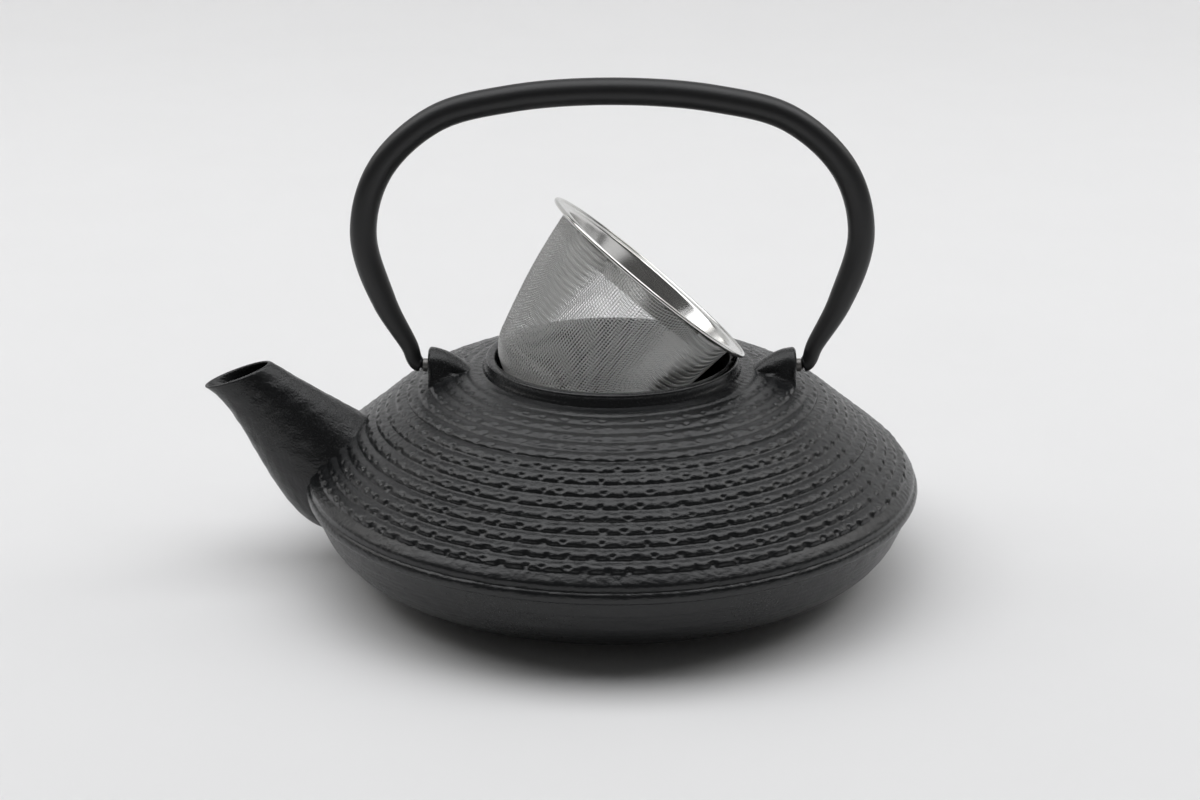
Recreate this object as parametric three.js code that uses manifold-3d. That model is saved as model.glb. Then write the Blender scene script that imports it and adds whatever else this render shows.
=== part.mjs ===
// Cast iron teapot with a bail handle and a wire mesh infuser that leans in its open mouth.
// Millimetres, +Z up, origin on the floor under the middle of the pot, spout toward -X.
import * as THREE from "three";
import { mergeVertices } from "three/addons/utils/BufferGeometryUtils.js";
import Module from "manifold-3d";

const wasm = await Module();
wasm.setup();

// Pot
const TURN_STEPS = 64;
const FOOT_RADIUS = 62.5;
const FOOT_HEIGHT = 2;
const SEAM_HEIGHT = 25;
const BELLY_RADIUS = 93;
const BEAD_HEIGHT = 4;
const WALL = 3.4;
const MOUTH_RADIUS = 35.4;
const COLLAR_RADIUS = 38.2;
const COLLAR_TOP = 66.2;
const COLLAR_BEVEL = 0.8;
const LIP_BEVEL = 0.7;
const NECK_BOTTOM = 60;
const NECK_TOP = 63;
const SEAM_RADIUS = 91.6;
const BEAD_PROUD = 0.4;
const BEAD_SHOULDER = 0.9;
// Spout
const SPOUT_ROOT_HALF_WIDTH = 19;
const SPOUT_TIP_HALF_WIDTH = 6.8;
const SPOUT_WALL = 1.9;
const SPOUT_BORE_HALF = 8.5;
const SPOUT_DRAW = 1.5;
const SPOUT_STEPS = 12;
// Lugs and handle
const LUG_FACE = 55.5;
const LUG_LENGTH = 13.5;
const LUG_HALF_WIDTH = 6.2;
const LUG_TOP = 68.3;
const LUG_BACK_HALF_WIDTH = 3.4;
const LUG_BACK_TOP = 61.6;
const LUG_FALL = 2.1;
const LUG_SECTIONS = [0, 0.25, 0.5, 0.75, 1];
const LUG_ROOT = 50;
const HOLE_CLEARANCE = 1.2;
const PIN_HEIGHT = 62.7;
const PIN_RADIUS = 2;
const HOLE_RADIUS = 2.25;
const PIN_INNER_END = 49;
const PIN_SHOULDER = 57.4;
const TANG_RADIUS = 1;
const TANG_LENGTH = 0.8;
const HANDLE_RADIUS = 4;
const HANDLE_END_RADIUS = 2.15;
const HANDLE_WALL = 0.8;
const HANDLE_TOP = 146.4;
const TAPER_START = 93;
const TAPER_END = 56.7;
// Infuser, drawn upright with the underside of its flange at zero
const FLANGE_RADIUS = 36.9;
const FLANGE_THICKNESS = 0.9;
const EDGE_ROUND = 0.3;
const ROLL_HEIGHT = 0.4;
const ROLL_WIDTH = 1.2;
const SLEEVE_BORE = 30.9;
const SLEEVE_LEAD = 0.8;
const SLEEVE_WALL = 0.6;
const SLEEVE_DEPTH = 5;
const CUP_RADIUS = 32.3;
const CUP_DEPTH = 50;
const CUP_TAPER = THREE.MathUtils.degToRad(10.7);
const CUP_CORNER = 14.5;
const CUP_WALL = 0.6;
const CUP_TOP = 0.4;
const CUP_BULGE = 0.9;
// Resting pose of the infuser: tipped against the rim, hooked over it by the edge of its flange
const LEAN = THREE.MathUtils.degToRad(40.4);
const LEAN_AZIMUTH = THREE.MathUtils.degToRad(10.3);
const HOOK_DISTANCE = 34.9;
const REST_GAP = 0.45;

const iron = new THREE.MeshStandardMaterial({ color: 0x26262a, roughness: 0.62, metalness: 0.35 });
const coatedSteel = new THREE.MeshStandardMaterial({ color: 0x1d1d20, roughness: 0.55, metalness: 0.3 });
const bareSteel = new THREE.MeshStandardMaterial({ color: 0x8f9092, roughness: 0.4, metalness: 0.9 });
const stainless = new THREE.MeshStandardMaterial({ color: 0xc9cac8, roughness: 0.16, metalness: 1 });
const wireMesh = new THREE.MeshStandardMaterial({ color: 0xa3a4a2, roughness: 0.38, metalness: 0.95 });

function solid(geometry) {
  const bare = geometry.clone();
  bare.deleteAttribute("normal");
  bare.deleteAttribute("uv");
  const merged = mergeVertices(bare, 1e-4);
  return new wasm.Manifold(
    new wasm.Mesh({
      numProp: 3,
      vertProperties: merged.attributes.position.array,
      triVerts: new Uint32Array(merged.index.array),
    }),
  );
}

function geometryOf(body) {
  const mesh = body.getMesh();
  const positions = new Float32Array(mesh.numVert * 3);
  for (let i = 0; i < mesh.numVert; i++) {
    positions.set(mesh.vertProperties.subarray(i * mesh.numProp, i * mesh.numProp + 3), i * 3);
  }
  const geometry = new THREE.BufferGeometry();
  geometry.setAttribute("position", new THREE.BufferAttribute(positions, 3));
  geometry.setIndex(new THREE.BufferAttribute(mesh.triVerts, 1));
  const flat = geometry.toNonIndexed();
  flat.computeVertexNormals();
  return flat;
}

// A turned solid about +Z from a profile of [radius, height] pairs.
function turned(profile, steps = TURN_STEPS) {
  const points = profile.map(([r, z]) => new THREE.Vector2(r, z));
  const closesOnAxis = profile[0][0] === 0 && profile[profile.length - 1][0] === 0;
  if (!closesOnAxis) points.push(points[0].clone());
  return solid(new THREE.LatheGeometry(points, steps).rotateX(Math.PI / 2));
}

// A closed solid through a row of rings that all hold the same number of points.
function loft(rings) {
  const count = rings[0].length;
  const points = rings.flat();
  const index = [];
  for (let i = 0; i + 1 < rings.length; i++) {
    for (let j = 0; j < count; j++) {
      const a = i * count + j;
      const b = i * count + ((j + 1) % count);
      index.push(a, b, b + count, a, b + count, a + count);
    }
  }
  for (const [start, flip] of [[0, true], [(rings.length - 1) * count, false]]) {
    const centre = points.length;
    const sum = new THREE.Vector3();
    for (let j = 0; j < count; j++) sum.add(points[start + j]);
    points.push(sum.divideScalar(count));
    for (let j = 0; j < count; j++) {
      const a = start + j;
      const b = start + ((j + 1) % count);
      index.push(...(flip ? [centre, b, a] : [centre, a, b]));
    }
  }
  const geometry = new THREE.BufferGeometry().setFromPoints(points);
  geometry.setIndex(index);
  const body = solid(geometry);
  return body.volume() < 0 ? flipped(geometry) : body;
}

function flipped(geometry) {
  const index = Array.from(geometry.index.array);
  for (let i = 0; i < index.length; i += 3) {
    [index[i + 1], index[i + 2]] = [index[i + 2], index[i + 1]];
  }
  geometry.setIndex(index);
  return solid(geometry);
}

// A rod along X from one station to another.
function rodX(from, to, radius, height, steps = 24) {
  const rod = new THREE.CylinderGeometry(radius, radius, Math.abs(to - from), steps);
  rod.rotateZ(Math.PI / 2);
  rod.translate((from + to) / 2, 0, height);
  return solid(rod);
}

function smooth(points, divisions) {
  const curve = new THREE.SplineCurve(points.map(([r, z]) => new THREE.Vector2(r, z)));
  return curve.getPoints(divisions).map((p) => [p.x, p.y]);
}

// Outer skin of the pot, from the foot to the seam and from the bead to the collar.
const bowlSkin = smooth(
  [[FOOT_RADIUS, FOOT_HEIGHT], [74, 5], [82, 9], [87, 14], [90, 20], [SEAM_RADIUS, SEAM_HEIGHT]],
  9,
);
const domeSkin = smooth(
  [
    [BELLY_RADIUS - 0.6, SEAM_HEIGHT + BEAD_HEIGHT],
    [SEAM_RADIUS, 31.4],
    [85.2, 37],
    [75.4, 45],
    [64, 54],
    [51, 59.7],
    [COLLAR_RADIUS, NECK_TOP],
  ],
  12,
);
const beadSkin = [
  [SEAM_RADIUS, SEAM_HEIGHT],
  [BELLY_RADIUS, SEAM_HEIGHT + BEAD_SHOULDER],
  [BELLY_RADIUS + BEAD_PROUD, SEAM_HEIGHT + BEAD_HEIGHT / 2],
  [BELLY_RADIUS, SEAM_HEIGHT + BEAD_HEIGHT - BEAD_SHOULDER],
];
// Inner skin: the same form, one wall thickness in.
const bowlLining = smooth(
  [[SEAM_RADIUS - WALL, SEAM_HEIGHT], [86.4, 18], [81, 12.6], [70, 8], [56, FOOT_HEIGHT + WALL]],
  7,
);
const domeLining = smooth(
  [
    [MOUTH_RADIUS, NECK_BOTTOM],
    [49, 56.4],
    [61, 51.2],
    [72.6, 42.2],
    [84, 32.6],
    [SEAM_RADIUS - WALL, SEAM_HEIGHT],
  ],
  9,
);

const outerForm = turned([[0, 0], [FOOT_RADIUS, 0], ...bowlSkin, ...beadSkin, ...domeSkin, [0, NECK_TOP]]);

const potFoot = turned([[0, 0], [FOOT_RADIUS, 0], [FOOT_RADIUS, FOOT_HEIGHT], [0, FOOT_HEIGHT]]);
let potBowl = turned([[0, FOOT_HEIGHT], ...bowlSkin, ...bowlLining, [0, FOOT_HEIGHT + WALL]]);
let potShoulder = turned([
  ...beadSkin,
  ...domeSkin,
  [COLLAR_RADIUS, NECK_BOTTOM],
  ...domeLining,
]);
const mouthCollar = turned([
  [MOUTH_RADIUS, NECK_BOTTOM],
  [COLLAR_RADIUS, NECK_BOTTOM],
  [COLLAR_RADIUS, COLLAR_TOP - COLLAR_BEVEL],
  [COLLAR_RADIUS - COLLAR_BEVEL, COLLAR_TOP],
  [MOUTH_RADIUS + LIP_BEVEL, COLLAR_TOP],
  [MOUTH_RADIUS, COLLAR_TOP - LIP_BEVEL],
]);

// Spout: flattened tube between an upper and a lower outline, wide at the root, narrow at the lip.
const spoutTop = new THREE.CubicBezierCurve(
  new THREE.Vector2(-64, 40),
  new THREE.Vector2(-76, 46.5),
  new THREE.Vector2(-90, 54.5),
  new THREE.Vector2(-103.5, 63.6),
);
const spoutUnder = new THREE.CubicBezierCurve(
  new THREE.Vector2(-84, 8.5),
  new THREE.Vector2(-104, 6),
  new THREE.Vector2(-110, 49),
  new THREE.Vector2(-124, 56.2),
);

function spoutRing(t, halfHeight, halfWidth, steps = 28) {
  const high = spoutTop.getPoint(t);
  const low = spoutUnder.getPoint(t);
  const centre = high.clone().add(low).multiplyScalar(0.5);
  const along = high.clone().sub(low).normalize();
  const ring = [];
  for (let i = 0; i < steps; i++) {
    const a = (i / steps) * 2 * Math.PI;
    const up = Math.cos(a) * halfHeight(high.distanceTo(low) / 2);
    const p = centre.clone().addScaledVector(along, up);
    ring.push(new THREE.Vector3(p.x, Math.sin(a) * halfWidth, p.y));
  }
  return ring;
}

const spoutWidth = (t) =>
  SPOUT_TIP_HALF_WIDTH +
  (SPOUT_ROOT_HALF_WIDTH - SPOUT_TIP_HALF_WIDTH) * (1 - Math.min(t, 1)) ** SPOUT_DRAW;
const skinRings = [];
const boreRings = [];
for (let i = 0; i <= SPOUT_STEPS; i++) {
  const t = i / SPOUT_STEPS;
  skinRings.push(spoutRing(t, (half) => half, spoutWidth(t)));
}
for (let i = 0; i <= SPOUT_STEPS + 1; i++) {
  const t = i / SPOUT_STEPS;
  const width = Math.min(spoutWidth(t) - SPOUT_WALL, SPOUT_BORE_HALF);
  boreRings.push(spoutRing(t, (half) => Math.min(half - SPOUT_WALL, SPOUT_BORE_HALF), width));
}
// The bore goes on past the root into the bowl.
const inward = new THREE.Vector3(14, 0, -6);
boreRings.unshift(boreRings[0].map((p) => p.clone().add(inward)));
const spoutBore = loft(boreRings);
const clearOfPot = outerForm.scale([1.0006, 1.0006, 1.0006]);
const spout = loft(skinRings).subtract(clearOfPot).subtract(spoutBore);
potBowl = potBowl.subtract(spoutBore);
potShoulder = potShoulder.subtract(spoutBore);

// Lug: a hood with an arched face that falls away toward the mouth, holed for the handle pin.
function lug(side) {
  const rings = [];
  for (const share of LUG_SECTIONS) {
    const half = THREE.MathUtils.lerp(LUG_HALF_WIDTH, LUG_BACK_HALF_WIDTH, share);
    const top = THREE.MathUtils.lerp(LUG_TOP, LUG_BACK_TOP, share ** LUG_FALL);
    const x = side * (LUG_FACE - LUG_LENGTH * share);
    const ring = [new THREE.Vector3(x, half, LUG_ROOT)];
    for (let i = 0; i <= 12; i++) {
      const a = (i / 12) * Math.PI;
      ring.push(new THREE.Vector3(x, Math.cos(a) * half, top - half + Math.sin(a) * half));
    }
    ring.push(new THREE.Vector3(x, -half, LUG_ROOT));
    rings.push(ring);
  }
  const holeEnd = side * (PIN_INNER_END - HOLE_CLEARANCE);
  const hole = rodX(holeEnd, side * (LUG_FACE + 1), HOLE_RADIUS, PIN_HEIGHT);
  return loft(rings).subtract(clearOfPot).subtract(hole);
}

// Handle: a tube bent to a tall rounded arch, drawn down in diameter toward its turned-in ends.
const quarter = [
  [PIN_SHOULDER + 0.2, PIN_HEIGHT],
  [59, 63.3],
  [59.9, 64.8],
  [61, 68.4],
  [68.3, 82.6],
  [73.9, 103.5],
  [68.4, 123],
  [52, 138.2],
  [30, 144.2],
];
const archPoints = [
  ...quarter.map(([x, z]) => new THREE.Vector3(-x, 0, z)),
  new THREE.Vector3(0, 0, HANDLE_TOP),
  ...quarter.map(([x, z]) => new THREE.Vector3(x, 0, z)).reverse(),
];
const arch = new THREE.CatmullRomCurve3(archPoints, false, "centripetal");
const outerRadius = (z) =>
  THREE.MathUtils.lerp(
    HANDLE_END_RADIUS,
    HANDLE_RADIUS,
    THREE.MathUtils.smoothstep(z, TAPER_END, TAPER_START),
  );

function tubeRings(radiusAt, overshoot, steps) {
  const rings = [];
  const stations = 48;
  for (let i = 0; i <= stations; i++) {
    const even = i / stations;
    const t = THREE.MathUtils.lerp(even, (1 - Math.cos(even * Math.PI)) / 2, 0.8);
    const centre = arch.getPointAt(t);
    let tangent = arch.getTangentAt(t);
    if (i === 0) tangent = new THREE.Vector3(-1, 0, 0);
    if (i === stations) tangent = new THREE.Vector3(-1, 0, 0);
    if (i === 0 || i === stations) centre.x -= Math.sign(centre.x) * overshoot;
    const side = new THREE.Vector3(-tangent.z, 0, tangent.x);
    const radius = radiusAt(centre.z);
    const ring = [];
    for (let j = 0; j < steps; j++) {
      const a = (j / steps) * 2 * Math.PI;
      const p = centre.clone().addScaledVector(side, Math.cos(a) * radius);
      p.y = Math.sin(a) * radius;
      ring.push(p);
    }
    rings.push(ring);
  }
  return rings;
}

const handleTube = loft(tubeRings(outerRadius, 0, 18)).subtract(
  loft(tubeRings((z) => outerRadius(z) - HANDLE_WALL, 1, 12)),
);

function hingePin(side) {
  const journal = rodX(side * PIN_INNER_END, side * PIN_SHOULDER, PIN_RADIUS, PIN_HEIGHT);
  const tang = rodX(side * (PIN_SHOULDER - 1), side * (PIN_SHOULDER + TANG_LENGTH), TANG_RADIUS, PIN_HEIGHT);
  return journal.add(tang);
}

// Infuser rim: flat rolled flange with a short polished sleeve below it, tapered like the cup.
const sleeveDraw = Math.tan(CUP_TAPER) * SLEEVE_DEPTH;
const infuserRim = turned([
  [SLEEVE_BORE - sleeveDraw, -SLEEVE_DEPTH],
  [SLEEVE_BORE + SLEEVE_WALL - sleeveDraw, -SLEEVE_DEPTH],
  [SLEEVE_BORE + SLEEVE_WALL, 0],
  [FLANGE_RADIUS - EDGE_ROUND, 0],
  [FLANGE_RADIUS, EDGE_ROUND],
  [FLANGE_RADIUS, FLANGE_THICKNESS],
  [FLANGE_RADIUS - ROLL_WIDTH / 2, FLANGE_THICKNESS + ROLL_HEIGHT],
  [FLANGE_RADIUS - ROLL_WIDTH, FLANGE_THICKNESS],
  [SLEEVE_BORE + SLEEVE_LEAD, FLANGE_THICKNESS],
  [SLEEVE_BORE, FLANGE_THICKNESS - SLEEVE_LEAD],
]);

// Mesh cup: tapered wall running through a wide rounded corner into a flat bottom.
function cupOutline(inset) {
  const wallFoot = CUP_RADIUS - Math.tan(CUP_TAPER) * CUP_DEPTH;
  const corner = CUP_CORNER - inset;
  const turn = Math.PI / 2 - CUP_TAPER;
  const centreZ = -CUP_DEPTH + CUP_CORNER;
  const centreR = wallFoot + Math.tan(CUP_TAPER) * CUP_CORNER - CUP_CORNER / Math.cos(CUP_TAPER);
  const cornerTop = centreZ - CUP_CORNER * Math.sin(CUP_TAPER);
  const outline = [];
  for (const share of [1, 0.75, 0.5, 0.25]) {
    const z = THREE.MathUtils.lerp(cornerTop, -CUP_TOP, share);
    const wall = CUP_RADIUS + Math.tan(CUP_TAPER) * z + CUP_BULGE * Math.sin(share * Math.PI);
    outline.push([wall - inset / Math.cos(CUP_TAPER), z]);
  }
  for (let i = 0; i <= 5; i++) {
    const a = -CUP_TAPER - (i / 5) * turn;
    outline.push([centreR + Math.cos(a) * corner, centreZ + Math.sin(a) * corner]);
  }
  outline.push([0, -CUP_DEPTH + inset]);
  return outline;
}
const meshCup = turned([...cupOutline(0).reverse(), ...cupOutline(CUP_WALL)]);

function named(name, body, material) {
  const mesh = new THREE.Mesh(geometryOf(body), material);
  mesh.name = name;
  return mesh;
}

const pot = new THREE.Group();
pot.name = "pot";
pot.add(
  named("pot_foot", potFoot, iron),
  named("pot_bowl", potBowl, iron),
  named("pot_shoulder", potShoulder, iron),
  named("mouth_collar", mouthCollar, iron),
  named("spout", spout, iron),
  named("lug_spout_side", lug(-1), iron),
  named("lug_back_side", lug(1), iron),
);

const handle = new THREE.Group();
handle.name = "handle";
handle.add(
  named("handle_tube", handleTube, coatedSteel),
  named("hinge_pin_spout_side", hingePin(-1), bareSteel),
  named("hinge_pin_back_side", hingePin(1), bareSteel),
);

const infuser = new THREE.Group();
infuser.name = "infuser";
infuser.add(named("infuser_rim", infuserRim, stainless), named("infuser_mesh", meshCup, wireMesh));
// Carried on the outer edge of the collar at one side, its cup against the lip at the other.
const across = Math.cos(LEAN) * HOOK_DISTANCE - Math.sin(LEAN) * REST_GAP;
const raised = Math.sin(LEAN) * HOOK_DISTANCE + Math.cos(LEAN) * REST_GAP;
const reach = COLLAR_RADIUS - COLLAR_BEVEL - across;
infuser.position.set(
  Math.cos(LEAN_AZIMUTH) * reach,
  Math.sin(LEAN_AZIMUTH) * reach,
  COLLAR_TOP + raised,
);
infuser.quaternion.setFromAxisAngle(
  new THREE.Vector3(-Math.sin(LEAN_AZIMUTH), Math.cos(LEAN_AZIMUTH), 0),
  LEAN,
);

const teapot = new THREE.Group();
teapot.name = "teapot_with_infuser";
teapot.add(pot, handle, infuser);

export default teapot;
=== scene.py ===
import math

import bpy
import numpy as np
from mathutils import Matrix, Vector


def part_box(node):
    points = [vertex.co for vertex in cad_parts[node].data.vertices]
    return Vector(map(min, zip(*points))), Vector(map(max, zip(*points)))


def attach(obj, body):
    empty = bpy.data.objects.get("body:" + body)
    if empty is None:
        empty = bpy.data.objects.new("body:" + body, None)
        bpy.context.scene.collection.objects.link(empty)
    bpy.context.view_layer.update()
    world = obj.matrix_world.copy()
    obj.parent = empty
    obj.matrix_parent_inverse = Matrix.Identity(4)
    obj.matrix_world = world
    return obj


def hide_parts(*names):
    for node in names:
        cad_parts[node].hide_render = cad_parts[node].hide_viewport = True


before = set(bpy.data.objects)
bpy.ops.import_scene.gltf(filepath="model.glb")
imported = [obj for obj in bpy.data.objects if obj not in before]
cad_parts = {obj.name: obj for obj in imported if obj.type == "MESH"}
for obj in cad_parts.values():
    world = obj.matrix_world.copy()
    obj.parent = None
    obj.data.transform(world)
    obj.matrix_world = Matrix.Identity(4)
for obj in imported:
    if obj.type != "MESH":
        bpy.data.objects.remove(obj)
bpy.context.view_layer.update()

# ---------------------------------------------------------------------------------------------
# Shoulder of the pot: the upper half of a sand casting, from the collar round the mouth out to
# the bead at the belly. It carries raised rings, each notched along its outer flank, and is
# finished with a satin black lacquer over the grain of the sand.
MM = 0.001
seam_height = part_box("pot_shoulder")[0].z / MM
collar_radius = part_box("mouth_collar")[1].x / MM
bead_radius = 93.4
bead_height = 4
dome_points = [
    (collar_radius - 0.4, 63),
    (51, 59.7),
    (64, 54),
    (75.4, 45),
    (85.2, 37),
    (91.6, 31.4),
    (92.4, seam_height + bead_height),
]
skin_thickness = 1.5
first_groove = 2.4
ring_pitch = 3.9
ring_count = 15
crest_height = (0.36, 0.85)
crest_skew = 1.75
notch_place = (0.7, 0.76)
notch_spacing = 5.8
notch_half_length = 1.15
notch_half_width = (0.13, 0.19)
notch_depth = (0.42, 0.78)
notch_squareness = 2.5
notch_seed = 40
notch_shift = 0.16
notch_drop = 0.07
notch_depth_spread = (0.55, 1.2)
notch_length_spread = (0.6, 1.25)
ring_fullness = 2.4
plain_rings = 1
crown_rings = 6
upper_rings = 11
seam_radius = 91.7
bead_round = (1.5, 1.9)
bead_sweep = (70, -75)
bead_points = 12
lump_waves = 24
lump_spread = (0.6, 1.8)
wander_waves = (2, 15)
wander_reach = (0.4, 1)
shoulder_wander = (7, 0.05)
cast_seed = 17
cast_lump = 1.0
cast_relief = 0.03
row_step = 0.36
inner_row_skip = 6
seam_fade = 3
casting_edge = math.radians(72)


def smooth_line(points, per_span=24):
    """A line of radius and height that bends evenly through the points."""
    p = np.array(points, float)
    p = np.vstack([2 * p[:1] - p[1:2], p, 2 * p[-1:] - p[-2:-1]])
    t = np.linspace(0, 1, per_span, endpoint=False)[:, None]
    spans = []
    for a, b, c, d in zip(p[:-3], p[1:-2], p[2:-1], p[3:]):
        leave = (c - a) / 2
        arrive = (d - b) / 2
        cubic = 2 * (b - c) + leave + arrive
        square = 3 * (c - b) - 2 * leave - arrive
        spans.append(cubic * t**3 + square * t**2 + leave * t + b)
    return np.vstack([*spans, p[-2:-1]])


def length_along(line):
    return np.concatenate([[0], np.cumsum(np.hypot(*np.diff(line, axis=0).T))])


def at_lengths(line, lengths):
    """Points on a line at these lengths along it, and the normal to its left at each."""
    along = length_along(line)
    near = 0.05

    def point(where):
        return np.stack([np.interp(where, along, line[:, i]) for i in (0, 1)], 1)

    way = point(lengths + near) - point(lengths - near)
    way /= np.linalg.norm(way, axis=1)[:, None]
    return point(lengths), np.stack([-way[:, 1], way[:, 0]], 1)


def skin(name, rows, loop=False, start_cap=False, end_cap=False):
    """A smooth mesh over rows of points in millimetres, each row closing on itself."""
    count, around = rows.shape[:2]
    index = np.arange(count * around).reshape(count, around)
    if loop:
        index = np.vstack([index, index[:1]])
    a, b = index[:-1], index[1:]
    faces = np.stack([a, np.roll(a, -1, 1), np.roll(b, -1, 1), b], -1).reshape(-1, 4).tolist()
    if start_cap:
        faces.append(index[0][::-1].tolist())
    if end_cap:
        faces.append(index[-1].tolist())
    mesh = bpy.data.meshes.new(name)
    mesh.from_pydata((rows.reshape(-1, 3) * MM).tolist(), [], faces)
    mesh.shade_smooth()
    piece = bpy.data.objects.new(name, mesh)
    bpy.context.scene.collection.objects.link(piece)
    return piece


def turned_rows(line, steps):
    """Rows of points on a surface turned about the pot's axis from a line of radius and height."""
    turn = np.linspace(0, 2 * math.pi, steps, endpoint=False)[None, :]
    r = line[:, 0, None] if line.ndim == 2 else line[..., 0]
    z = line[:, 1, None] if line.ndim == 2 else line[..., 1]
    return np.stack([r * np.cos(turn), r * np.sin(turn), z + 0 * turn], -1)


def wander(turn, seed, size):
    """A slow uneven rise and fall round the pot, as a hand-finished mould leaves."""
    random = np.random.default_rng(seed)
    waves = np.arange(*wander_waves)[:, None]
    phase = random.uniform(0, 2 * math.pi, waves.shape)
    reach = random.uniform(*wander_reach, waves.shape) / np.sqrt(waves)
    return size * (reach * np.sin(waves * turn + phase)).sum(0)


def cast_texture(points, seed, size, depth):
    """Soft uneven lumps of about this size, as sand leaves on a casting."""
    random = np.random.default_rng(seed)
    heading = random.normal(size=(lump_waves, 3))
    heading /= np.linalg.norm(heading, axis=1)[:, None]
    wave = math.pi / (size * random.uniform(*lump_spread, lump_waves))
    phase = random.uniform(0, 2 * math.pi, lump_waves)
    lumps = np.zeros(points.shape[:-1])
    for way, number, start in zip(heading, wave, phase):
        lumps += np.sin(points @ (way * number) + start)
    return depth * lumps / math.sqrt(lump_waves / 2)


dome_line = smooth_line(dome_points)
bead_turn = np.radians(np.linspace(*bead_sweep, bead_points))
bead_arc = np.stack(
    [
        bead_radius - bead_round[0] + bead_round[0] * np.cos(bead_turn),
        seam_height + bead_height / 2 + bead_round[1] * np.sin(bead_turn),
    ],
    1,
)
shoulder_line = np.vstack([dome_line, bead_arc, [[seam_radius, seam_height]]])
shoulder_length = length_along(shoulder_line)[-1]
dome_length = length_along(dome_line)[-1]


def ring_relief(lengths, turn):
    """How far the casting stands proud at these lengths down the shoulder and turns round it."""
    place = (lengths - first_groove) / ring_pitch
    ring = np.clip(np.floor(place), 0, ring_count - 1).astype(int)
    share = np.clip(place - ring, 0, 1)
    ringed = (place > 0) & (place < ring_count)
    swell = 1 - np.abs(2 * share**crest_skew - 1) ** ring_fullness
    height = np.interp(ring, (0, ring_count), crest_height)
    proud = np.repeat((ringed * swell * height)[:, None], len(turn), 1)
    radii = np.interp(lengths, length_along(shoulder_line), shoulder_line[:, 0])
    for k in range(plain_rings, ring_count):
        rows = np.nonzero(ringed & (ring == k))[0]
        if not len(rows):
            continue
        random = np.random.default_rng(notch_seed + k)
        radius = radii[rows].mean()
        count = round(2 * math.pi * radius / notch_spacing)
        slot = turn / (2 * math.pi) * count + random.uniform()
        nearest = np.round(slot).astype(int) % count
        shift = random.uniform(-notch_shift, notch_shift, count)[nearest]
        depth = random.uniform(*notch_depth_spread, count)[nearest]
        drop = random.uniform(-notch_drop, notch_drop, count)[nearest]
        length = random.uniform(*notch_length_spread, count)[nearest]
        away = (slot - np.round(slot) - shift) * 2 * math.pi * radius / count
        cut = depth * np.exp(-np.abs(away / (notch_half_length * length)) ** notch_squareness)
        spans = (notch_place, notch_half_width, notch_depth)
        middle, half_width, deepest = (np.interp(k, (0, ring_count), span) for span in spans)
        across = (share[rows][:, None] - middle - drop) / half_width
        proud[rows] -= deepest * cut * np.exp(-(across**2))
    return proud


class Value:
    """One output in a finish. Sums, differences and products of values add Math nodes."""

    def __init__(self, finish, socket):
        self.finish = finish
        self.socket = socket

    def math(self, operation, first, second):
        return self.finish.node("ShaderNodeMath", {"operation": operation}, {0: first, 1: second})

    def __add__(self, other):
        return self.math("ADD", self, other)

    def __radd__(self, other):
        return self.math("ADD", other, self)

    def __sub__(self, other):
        return self.math("SUBTRACT", self, other)

    def __rsub__(self, other):
        return self.math("SUBTRACT", other, self)

    def __mul__(self, other):
        return self.math("MULTIPLY", self, other)

    def __rmul__(self, other):
        return self.math("MULTIPLY", other, self)


class Finish:
    """A surface finish, built node by node round one Principled shader."""

    def __init__(self, name):
        self.material = bpy.data.materials.new(name)
        self.material.use_nodes = True
        self.tree = self.material.node_tree
        self.shader = self.tree.nodes["Principled BSDF"]

    def node(self, kind, settings, inputs, output=0):
        made = self.tree.nodes.new(kind)
        for key, value in settings.items():
            setattr(made, key, value)
        self.feed(made, inputs)
        return Value(self, made.outputs[output])

    def feed(self, made, inputs):
        for key, value in inputs.items():
            if isinstance(value, Value):
                self.tree.links.new(value.socket, made.inputs[key])
            else:
                made.inputs[key].default_value = value

    def grain(self, size, detail=3.0, rough=0.5):
        """Noise whose features are about this many millimetres across."""
        place = self.node("ShaderNodeTexCoord", {}, {}, "Object")
        inputs = {"Vector": place, "Scale": 1 / (size * MM), "Detail": detail, "Roughness": rough}
        return self.node("ShaderNodeTexNoise", {}, inputs)

    def mix(self, share, first, second):
        return self.node("ShaderNodeMix", {"data_type": "RGBA"}, {0: share, 6: first, 7: second}, 2)

    def bump(self, height, depth):
        return self.node("ShaderNodeBump", {}, {"Height": height, "Distance": depth * MM})

    def coat(self, pieces, inputs):
        """Sets the shader's inputs and puts the finish on the pieces."""
        self.feed(self.shader, inputs)
        for piece in pieces:
            piece.data.materials.clear()
            piece.data.materials.append(self.material)


thick_lacquer = (0.003, 0.0034, 0.004, 1)
thin_lacquer = (0.007, 0.0077, 0.0084, 1)
patch_size = 24
patch_gloss = 0.14
grain_gloss = 0.2


def lacquered_iron(name, pieces, grain_depth, sheen, grain_size=1.5):
    """Near black satin lacquer, thin enough to show the grain that the sand left."""
    finish = Finish(name)
    grain = finish.grain(grain_size, 4, 0.6)
    patches = finish.grain(patch_size, 3, 0.55)
    finish.coat(
        pieces,
        {
            "Base Color": finish.mix(patches, thick_lacquer, thin_lacquer),
            "Roughness": sheen + (patches - 0.5) * patch_gloss + (grain - 0.5) * grain_gloss,
            "Normal": finish.bump(grain, grain_depth),
        },
    )


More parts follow.
